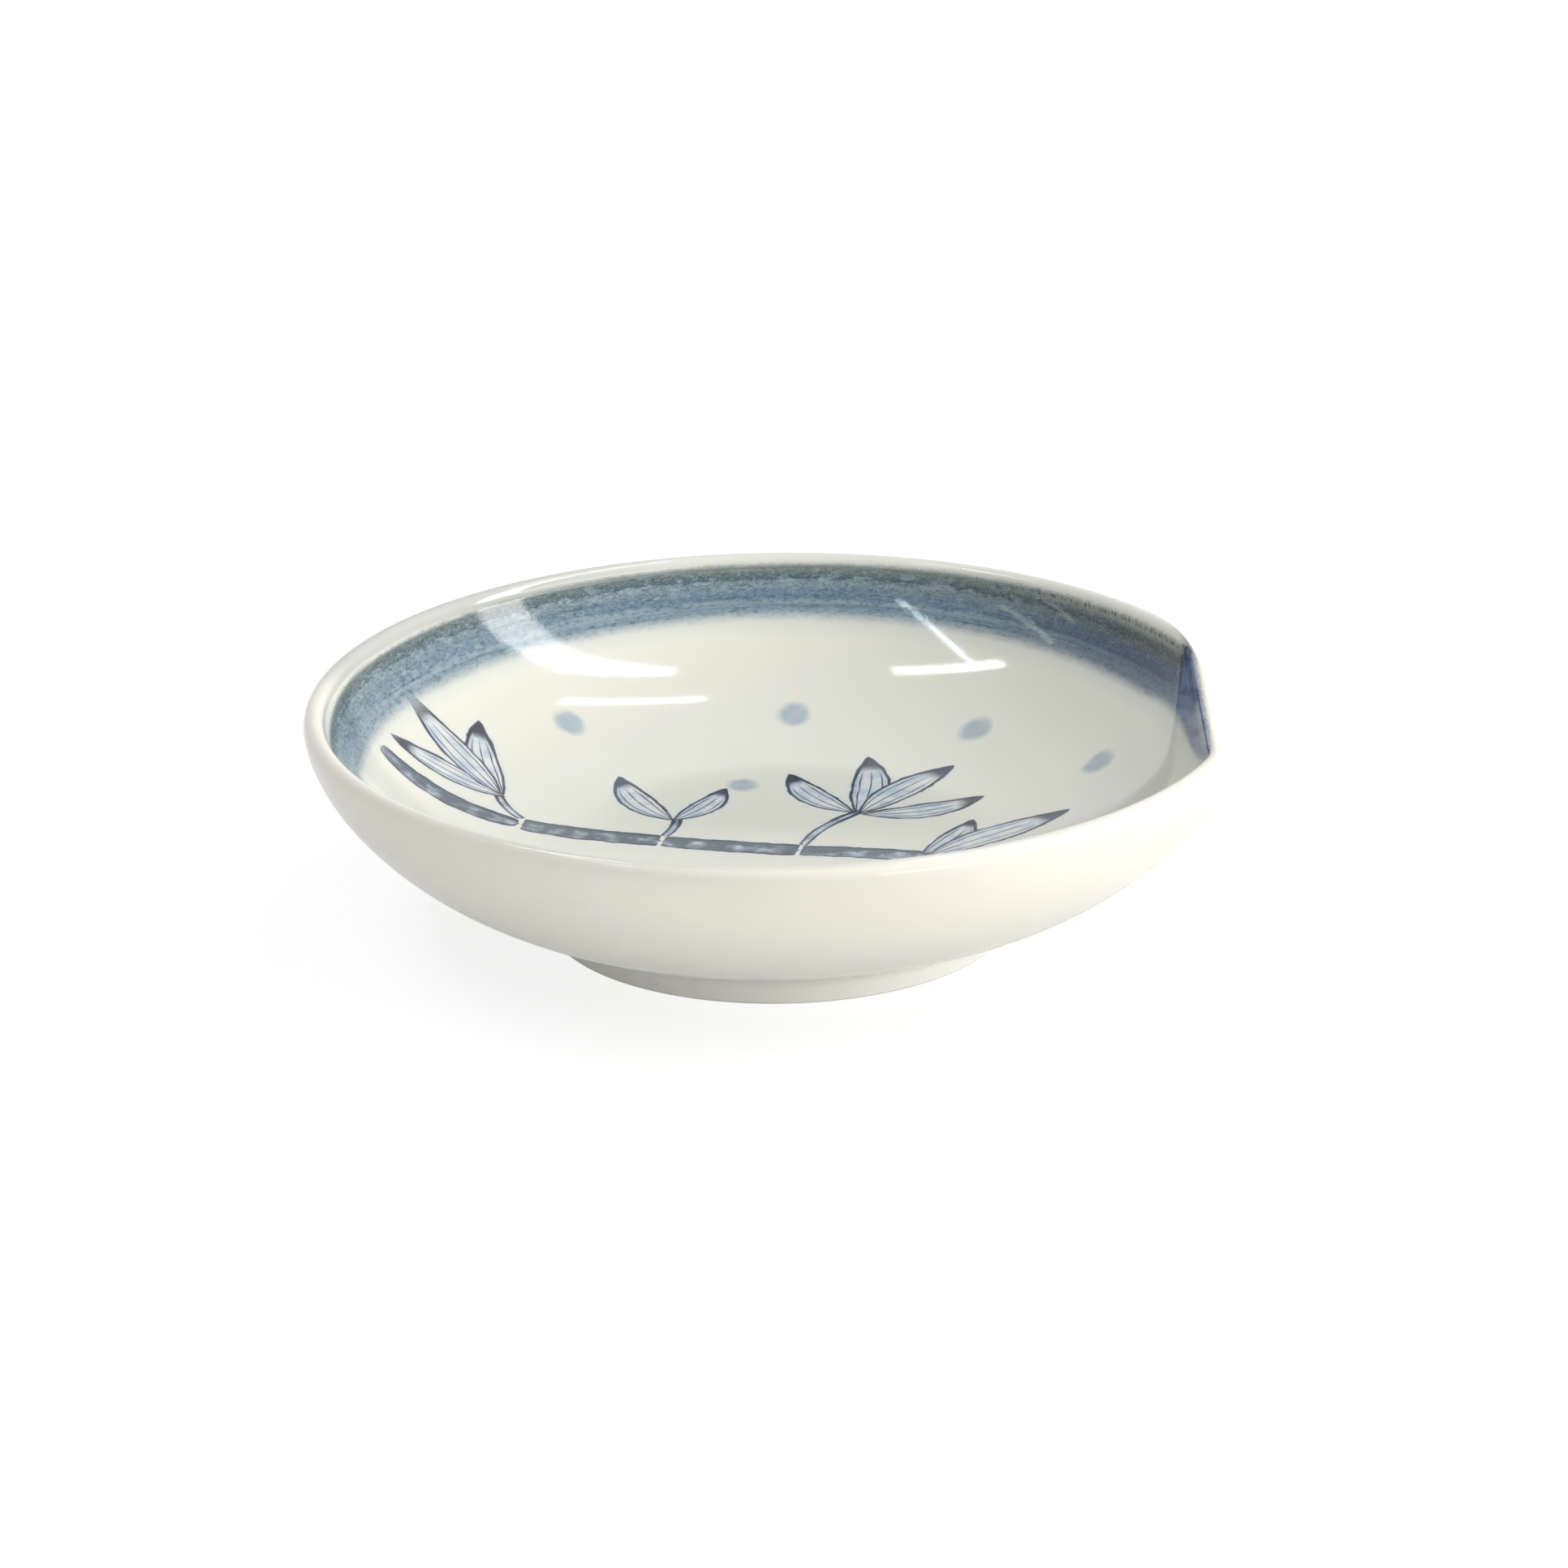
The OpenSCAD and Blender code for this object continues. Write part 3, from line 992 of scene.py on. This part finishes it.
def foot_glaze(tone, ripple):
    """Thin cream glaze on the foot, bare and matt where it rests. Its colour has painted light."""
    material, tree, shader = new_material("foot_glaze")
    skin = place_in_mm(tree)
    z = parts(tree, skin)[2]
    bare = (z + (noise(tree, skin, 0.3, 2.0) - 0.5) * 0.12).rise(0.24, 0.16)
    # The glazed colour takes the painted light on the foot from the tone group.
    glazed = use_group(tree, tone)["Colour"]
    body = blend_colour(tree, noise(tree, skin, 3.0, 3.0), BARE_RING_LIGHT, BARE_RING_DARK)
    feed(tree, shader.inputs["Base Color"], blend_colour(tree, bare, glazed, body))
    feed(tree, shader.inputs["Roughness"], bare * 0.4 + FOOT_ROUGHNESS)
    shader.inputs["IOR"].default_value = GLAZE_IOR
    height = use_group(tree, ripple, Skin=skin)["Height"]
    feed(tree, shader.inputs["Normal"], bump(tree, height, 0.03))
    return material


def bare_porcelain():
    """Fired porcelain under the glaze."""
    material, tree, shader = new_material("bare_porcelain")
    grain = noise(tree, place_in_mm(tree), 3.0, 3.0)
    feed(tree, shader.inputs["Base Color"], blend_colour(tree, grain, CLAY_LIGHT, CLAY_DARK))
    shader.inputs["Roughness"].default_value = CLAY_ROUGHNESS
    feed(tree, shader.inputs["Normal"], bump(tree, grain, 0.2))
    return material


# The dish

place = place_group()
ripple = ripple_group()
tone = tone_group()
painted = painted_glaze(place, tone, brush_group(), dab_group(), band_group(), ripple)
footed = foot_glaze(tone, ripple)

glaze_skin = thrown("glaze_skin", glaze_shell(), dish_stations())
pressing = press_tree()
shaped(glaze_skin, pressing, {**PRESS_SIZES, "Glaze": painted})
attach(glaze_skin, "root")
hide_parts("glaze_coat")

foot_stations = [math.tau * i / FOOT_STATIONS for i in range(FOOT_STATIONS)]
recess_glaze = thrown("recess_glaze", recess_shell(), foot_stations)
recess_glaze.data.materials.append(footed)
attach(recess_glaze, "root")
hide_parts("glaze_coat")

foot_skin = thrown("foot_skin", foot_shell(), foot_stations)
foot_skin.data.materials.append(footed)
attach(foot_skin, "root")
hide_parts("foot_ring")

bowl_clay = thrown("bowl_clay", bowl_shell(), dish_stations(CLAY_STATION_STEP))
shaped(bowl_clay, pressing, {**PRESS_SIZES, "Glaze": bare_porcelain()})
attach(bowl_clay, "root")
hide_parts("bowl")

# The studio

VIEW_TURN = Matrix.Rotation(PRESS_ANGLE, 4, "Z")


def studio(right, away, up):
    """A place or direction in the part's frame, from one laid out as the camera sees it."""
    return VIEW_TURN @ Vector((right, away, up))


CAMERA_ELEVATION = math.radians(20.62)
CAMERA_DISTANCE = 765.5 * MM
CAMERA_ROLL = math.radians(-0.687)
PHOTO_SIZE = 1932
FOCAL_PIXELS = 8441
DISH_IMAGE_AT = (958.2, 997.0)
SENSOR = 36.0
CLIP_NEAR = 10 * MM
CLIP_FAR = 50


def make_camera():
    """The photo's camera, aimed at the middle of the dish."""
    data = bpy.data.cameras.new("photo_camera")
    data.sensor_width = SENSOR
    data.lens = SENSOR * FOCAL_PIXELS / PHOTO_SIZE
    data.shift_x = (PHOTO_SIZE / 2 - DISH_IMAGE_AT[0]) / PHOTO_SIZE
    data.shift_y = (DISH_IMAGE_AT[1] - PHOTO_SIZE / 2) / PHOTO_SIZE
    data.clip_start = CLIP_NEAR
    data.clip_end = CLIP_FAR
    camera = bpy.data.objects.new("photo_camera", data)
    bpy.context.scene.collection.objects.link(camera)
    back = studio(0, -math.cos(CAMERA_ELEVATION), math.sin(CAMERA_ELEVATION))
    camera.location = Vector((0, 0, DISH_H / 2)) + back * CAMERA_DISTANCE
    look = (-back).to_track_quat("-Z", "Y").to_matrix().to_4x4() @ Matrix.Rotation(CAMERA_ROLL, 4, "Z")
    camera.rotation_euler = look.to_euler()
    bpy.context.scene.camera = camera


def strip_lamp(name, start, end, width, radiance, colour=(1.0, 1.0, 1.0)):
    """A long lamp from start to end, of even radiance, that faces the dish."""
    start = studio(*start)
    end = studio(*end)
    centre = (start + end) / 2
    along = (end - start).normalized()
    outward = (centre - along * centre.dot(along)).normalized()
    across = outward.cross(along)
    data = bpy.data.lights.new(name, "AREA")
    data.shape = "RECTANGLE"
    data.size = (end - start).length
    data.size_y = width
    data.energy = radiance * math.pi * data.size * data.size_y
    data.color = colour
    light = bpy.data.objects.new(name, data)
    bpy.context.scene.collection.objects.link(light)
    light.matrix_world = Matrix.Translation(centre) @ Matrix((along, across, outward)).transposed().to_4x4()


WHITE = (1.0, 1.0, 1.0, 1.0)
WARM = (1.0, 0.985, 0.96)
BLUISH = (0.78, 0.92, 1.0)
GREENISH = (0.95, 1.0, 0.8)
STRIPS = [  # name, start and end in the studio, width, radiance, colour
    ("tall_softbox_low", (0.60, -0.14, 0.06), (0.60, 0.005, 0.85), 0.155, 9.0, WARM),
    ("tall_softbox_high", (0.60, 0.013, 0.85), (0.60, 0.0, 2.25), 0.175, 10.0, WARM),
    ("low_softbox", (0.60, -1.40, 0.13), (1.45, -0.50, 0.13), 0.25, 4.0, WARM),
    ("left_tube", (-0.30, 0.045, 1.0), (-0.745, 0.09, 1.0), 0.08, 13.5, WARM),
    ("far_tube", (0.14, 0.31, 1.0), (0.52, 0.36, 1.0), 0.055, 15.0, WARM),
    ("side_tube", (-0.60, 0.05, 1.0), (-0.635, -0.76, 1.0), 0.018, 25.0, BLUISH),
    ("window", (-1.25, 0.1, 1.0), (-1.40, -0.60, 1.0), 0.05, 3.4, GREENISH),
    ("far_window", (-1.98, 0.0, 1.0), (-2.80, -0.68, 1.0), 0.06, 2.8, GREENISH),
]
SKY = 0.303
SKY_LOBES = [  # direction in the studio, and how much the light gains towards it
    ((0.0, -1.0, 0.0), 0.30),
    ((0.0, 0.0, 1.0), 0.05),
    ((-1.0, 0.0, 0.0), -0.18),
]


def make_lamps(strips):
    """Every lamp of the studio."""
    for strip in strips:
        strip_lamp(*strip)


def make_world(sky, lobes):
    """White to the camera and in reflections. The light on the dish is dimmer, and uneven."""
    world = bpy.data.worlds.new("studio")
    world.use_nodes = True
    tree = world.node_tree
    tree.nodes.clear()
    heading = tree.nodes.new("ShaderNodeTexCoord").outputs["Generated"]
    level = Field(tree, tree.nodes.new("ShaderNodeValue").outputs[0])
    level.socket.default_value = sky
    for aim, strength in lobes:
        towards = node_of(tree, "ShaderNodeVectorMath", {"operation": "DOT_PRODUCT"})
        tree.links.new(heading, towards.inputs[0])
        towards.inputs[1].default_value = studio(*aim)
        level = level + Field(tree, towards.outputs["Value"]).most(0.0) * strength
    path = tree.nodes.new("ShaderNodeLightPath")
    seen = Field(tree, path.outputs["Is Camera Ray"])
    seen = seen.most(Field(tree, path.outputs["Is Glossy Ray"]))
    seen = seen.most(Field(tree, path.outputs["Is Transmission Ray"]))
    fill = node_of(tree, "ShaderNodeBackground", Color=WHITE, Strength=level)
    white = node_of(tree, "ShaderNodeBackground", Color=WHITE, Strength=1.0)
    choice = node_of(tree, "ShaderNodeMixShader", Fac=seen)
    tree.links.new(fill.outputs[0], choice.inputs[1])
    tree.links.new(white.outputs[0], choice.inputs[2])
    output = tree.nodes.new("ShaderNodeOutputWorld")
    tree.links.new(choice.outputs[0], output.inputs["Surface"])
    bpy.context.scene.world = world


TABLE_HALF = 4.0
TABLE_LIT = (0.90, 0.90, 0.89, 1.0)  # its colour where it throws light back on the dish
TABLE_SHOWN = (0.34, 0.34, 0.34, 1.0)  # the part of its white, as seen, that a shadow can take away
TABLE_GLOW = 0.8  # the rest of that white
MIRRORED_GLOW = 0.5  # share of it that shows in reflections, where its shadow counts more


def make_floor():
    """A pale table top that keeps the dish's soft shadow. From below it lets the camera through."""
    corners = [(x * TABLE_HALF, y * TABLE_HALF, 0.0) for x, y in ((-1, -1), (1, -1), (1, 1), (-1, 1))]
    mesh = bpy.data.meshes.new("table_top")
    mesh.from_pydata(corners, [], [(0, 1, 2, 3)])
    floor = bpy.data.objects.new("table_top", mesh)
    bpy.context.scene.collection.objects.link(floor)
    material = bpy.data.materials.new("table_white")
    material.use_nodes = True
    tree = material.node_tree
    tree.nodes.clear()
    path = tree.nodes.new("ShaderNodeLightPath")
    mirrored = Field(tree, path.outputs["Is Glossy Ray"]) * MIRRORED_GLOW
    seen = Field(tree, path.outputs["Is Camera Ray"]).most(mirrored)
    lit = node_of(tree, "ShaderNodeBsdfDiffuse", Color=TABLE_LIT)
    pale = node_of(tree, "ShaderNodeBsdfDiffuse", Color=TABLE_SHOWN)
    glow = node_of(tree, "ShaderNodeEmission", Color=WHITE, Strength=TABLE_GLOW)
    shown = tree.nodes.new("ShaderNodeAddShader")
    tree.links.new(pale.outputs[0], shown.inputs[0])
    tree.links.new(glow.outputs[0], shown.inputs[1])
    front = node_of(tree, "ShaderNodeMixShader", Fac=seen)
    tree.links.new(lit.outputs[0], front.inputs[1])
    tree.links.new(shown.outputs[0], front.inputs[2])
    clear = tree.nodes.new("ShaderNodeBsdfTransparent")
    behind = tree.nodes.new("ShaderNodeNewGeometry").outputs["Backfacing"]
    surface = node_of(tree, "ShaderNodeMixShader", Fac=behind)
    tree.links.new(front.outputs[0], surface.inputs[1])
    tree.links.new(clear.outputs[0], surface.inputs[2])
    output = tree.nodes.new("ShaderNodeOutputMaterial")
    tree.links.new(surface.outputs[0], output.inputs["Surface"])
    mesh.materials.append(material)


make_camera()
make_lamps(STRIPS)
make_world(SKY, SKY_LOBES)
make_floor()
bpy.context.scene.view_settings.view_transform = "Standard"
